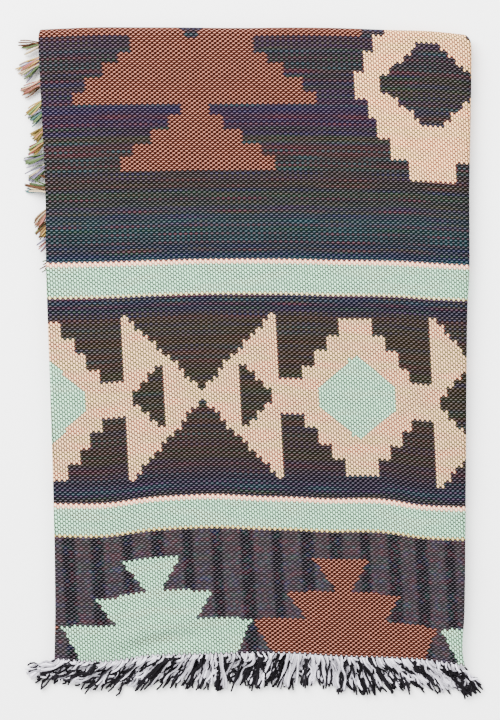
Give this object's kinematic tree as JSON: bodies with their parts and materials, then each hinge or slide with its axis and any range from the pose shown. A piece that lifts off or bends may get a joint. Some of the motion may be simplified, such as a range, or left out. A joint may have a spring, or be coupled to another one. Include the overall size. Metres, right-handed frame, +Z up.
{
  "type": "woven throw blanket",
  "caption": "folded woven cotton throw blanket with bands of stepped diamonds, triangles and stripes, and yarn fringe along its end and side edges",
  "frame": {"origin": "on the surface that the throw lies on, under the middle of the folded cloth", "axes": "+X to the right of the face that shows, +Y from the fringed ends to the top fold, +Z up"},
  "size_m": [0.4747, 0.6856, 0.0196],
  "materials": {
    "woven_cotton": "matt woven cotton in dark, mint, orange and ivory yarns",
    "warp_yarn": "matt twisted cotton yarn, white and charcoal",
    "weft_yarn": "matt fine cotton yarn in clumps of green, pink, ochre, teal and cream"
  },
  "bodies": {
    "root": {"cloth": "woven_cotton", "end_fringe_upper": "warp_yarn", "end_fringe_lower": "warp_yarn", "side_fringe_outer": "weft_yarn", "side_fringe_inner": "weft_yarn"}
  },
  "joints": []
}
